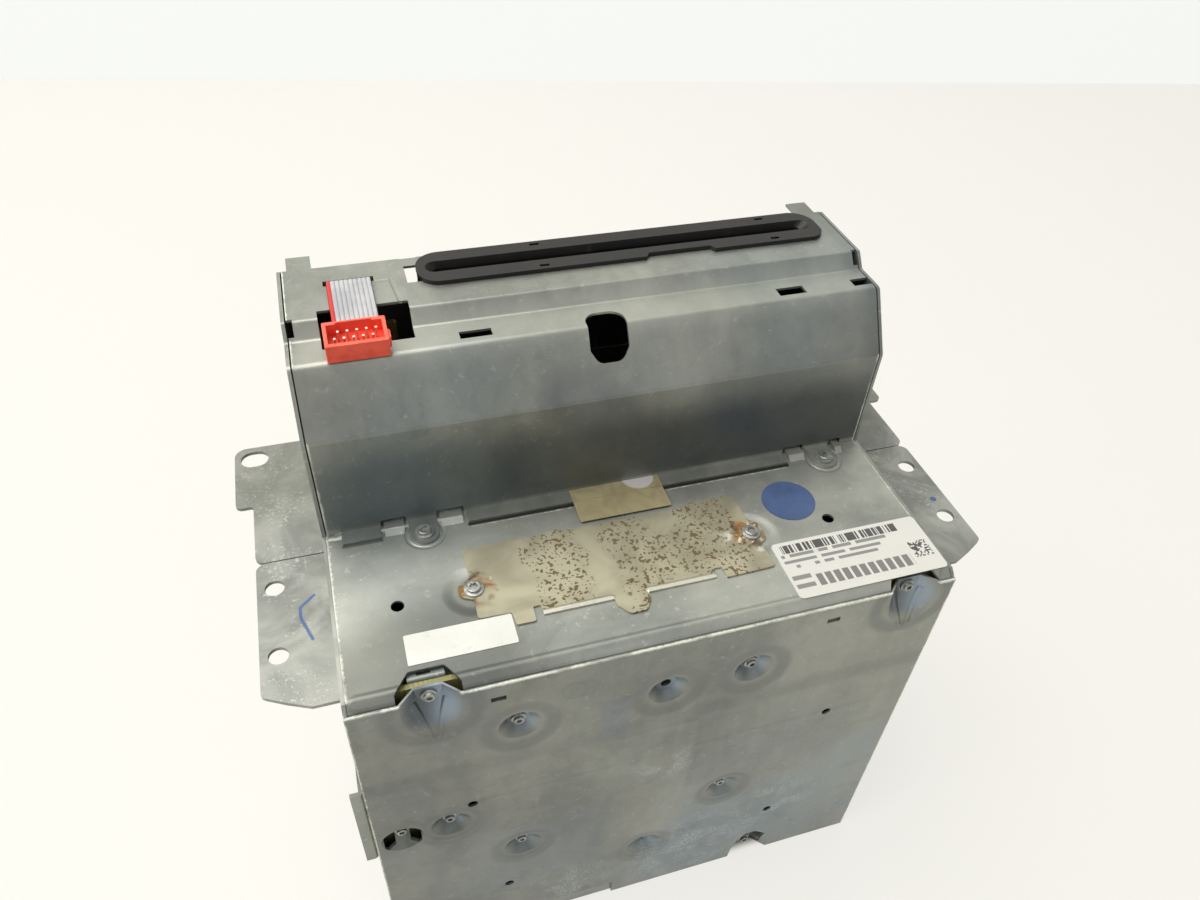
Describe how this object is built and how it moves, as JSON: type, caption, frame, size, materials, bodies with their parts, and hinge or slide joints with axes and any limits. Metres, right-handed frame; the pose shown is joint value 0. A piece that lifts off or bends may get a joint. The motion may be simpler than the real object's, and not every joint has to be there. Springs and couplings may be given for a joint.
{
  "type": "car cd player",
  "caption": "Slot-loading car disc player: galvanised sheet-metal case with stepped nose, slot bezel, mounting ears, ribbon lead with red plug and a full loading drive inside.",
  "frame": {"origin": "centre of the bounding box at its base, the connector end on which the unit stands; the ribbon lead and its plug are left out of the box", "axes": "+X across the case towards the printed label, +Y from the dimpled front cover to the back cover, +Z from the connector end up to the disc slot"},
  "size_m": [0.231, 0.123, 0.222],
  "materials": {
    "galvanised": "galvanised sheet, satin, weathered",
    "zinc_ears": "galvanised sheet with white bloom",
    "tin_plate": "tinned, speckled",
    "screw_steel": "zinc plated",
    "bezel_black": "fine grain",
    "guide_black": "smooth",
    "white_paper": "paper",
    "blue_paper": "satin film",
    "amber_film": "thin film",
    "board_green": "solder mask",
    "board_tan": "bare laminate",
    "ribbon_grey": "PVC",
    "plug_red": "moulded",
    "contact_gold": "plated",
    "connector_black": "moulded",
    "fan_black": "moulded",
    "damper_rubber": "soft",
    "roller_rubber": "ground",
    "gear_white": "acetal",
    "drive_steel": "zinc plated",
    "bright_steel": "ground",
    "motor_steel": "drawn can",
    "slide_black": "acetal",
    "lens_glass": "coated"
  },
  "bodies": {
    "case": {"side_wall_left": "galvanised", "side_wall_right": "galvanised", "rear_panel": "galvanised", "ledge_plate": "galvanised", "nose_cover": "galvanised", "front_cover": "galvanised", "back_cover": "galvanised", "ear_left_front": "zinc_ears", "ear_left_rear": "zinc_ears", "ear_right_front": "zinc_ears", "ear_right_rear": "zinc_ears", "side_lug": "galvanised", "slot_bezel": "bezel_black", "clamp_plate": "tin_plate", "tab_screws": "screw_steel", "clamp_screws": "screw_steel", "cover_screws": "screw_steel", "main_label": "white_paper", "blank_label": "white_paper", "round_sticker": "blue_paper", "amber_tag": "amber_film", "inner_bracket": "drive_steel", "main_board": "board_green", "power_connector": "connector_black", "coax_sockets": "connector_black", "fan_frame": "fan_black", "ribbon_cable": "ribbon_grey", "ribbon_plug": "plug_red", "plug_pins": "contact_gold", "interface_board": "board_green", "ribbon_header": "connector_black", "board_posts": "drive_steel", "drive_frame": "drive_steel", "dampers": "damper_rubber", "deck_plate": "drive_steel", "loading_motor": "motor_steel", "gear_plate": "drive_steel", "disc_guide": "guide_black", "spindle_motor": "motor_steel", "guide_rods": "bright_steel", "rod_holders": "slide_black", "sled_motor": "motor_steel", "slide_rivets": "screw_steel", "drive_board": "board_green"},
    "fan": {"fan_rotor": "fan_black"},
    "roller_arm": {"roller_arm": "drive_steel"},
    "roller": {"loading_roller": "roller_rubber", "roller_shaft": "bright_steel", "roller_gear": "gear_white"},
    "idler": {"idler_gear": "gear_white"},
    "reduction": {"reduction_gear": "gear_white"},
    "pinion": {"motor_pinion": "gear_white"},
    "cam_slide": {"cam_slide": "slide_black"},
    "clamp_arm": {"clamp_arm": "drive_steel"},
    "clamper": {"clamper": "slide_black"},
    "turntable": {"turntable": "slide_black"},
    "sled": {"sled": "slide_black", "lens": "lens_glass"},
    "lead_screw": {"lead_screw": "bright_steel"}
  },
  "joints": [
    {"name": "slide_travel", "type": "slide", "parent": "case", "child": "cam_slide", "axis": [0, 0, -1], "range_m": [0, 0.008]},
    {"name": "arm_swing", "type": "hinge", "parent": "case", "child": "roller_arm", "pos_m": [0, 0.0345, 0.177], "axis": [1, 0, 0], "range_deg": [0, 4]},
    {"name": "clamp_swing", "type": "hinge", "parent": "case", "child": "clamp_arm", "pos_m": [0, 0.0425, 0.065], "axis": [1, 0, 0], "range_deg": [0, 2.9]},
    {"name": "roller_spin", "type": "hinge", "parent": "roller_arm", "child": "roller", "pos_m": [0.0163, 0.0397, 0.204], "axis": [1, 0, 0], "continuous": true},
    {"name": "idler_spin", "type": "hinge", "parent": "case", "child": "idler", "pos_m": [0.085, 0.0487, 0.204], "axis": [1, 0, 0], "continuous": true},
    {"name": "reduction_spin", "type": "hinge", "parent": "case", "child": "reduction", "pos_m": [0.086, 0.0437, 0.19725], "axis": [1, 0, 0], "continuous": true},
    {"name": "pinion_spin", "type": "hinge", "parent": "case", "child": "pinion", "pos_m": [0.086, 0.0326, 0.19129], "axis": [1, 0, 0], "continuous": true},
    {"name": "clamper_spin", "type": "hinge", "parent": "clamp_arm", "child": "clamper", "pos_m": [0.0163, 0.04884, 0.13277], "axis": [0, 0.9987, -0.0506], "continuous": true},
    {"name": "disc_spin", "type": "hinge", "parent": "case", "child": "turntable", "pos_m": [0.0163, 0.0415, 0.133], "axis": [0, 1, 0], "continuous": true},
    {"name": "sled_travel", "type": "slide", "parent": "case", "child": "sled", "axis": [0, 0, -1], "range_m": [0, 0.036]},
    {"name": "lead_screw_spin", "type": "hinge", "parent": "case", "child": "lead_screw", "pos_m": [0.045, 0.0341, 0.097], "axis": [0, 0, 1], "continuous": true},
    {"name": "fan_spin", "type": "hinge", "parent": "case", "child": "fan", "pos_m": [0.045, 0.0125, 0.014], "axis": [0, 0, 1], "continuous": true}
  ],
  "couplings": [
    {"joint": "arm_swing", "follows": "slide_travel", "rad_per_m": 8.726},
    {"joint": "clamp_swing", "follows": "slide_travel", "rad_per_m": 6.326},
    {"joint": "idler_spin", "follows": "roller_spin", "ratio": -0.875},
    {"joint": "reduction_spin", "follows": "roller_spin", "ratio": 1.1667},
    {"joint": "pinion_spin", "follows": "roller_spin", "ratio": -3.7333},
    {"joint": "lead_screw_spin", "follows": "sled_travel", "rad_per_m": -2094.4}
  ]
}
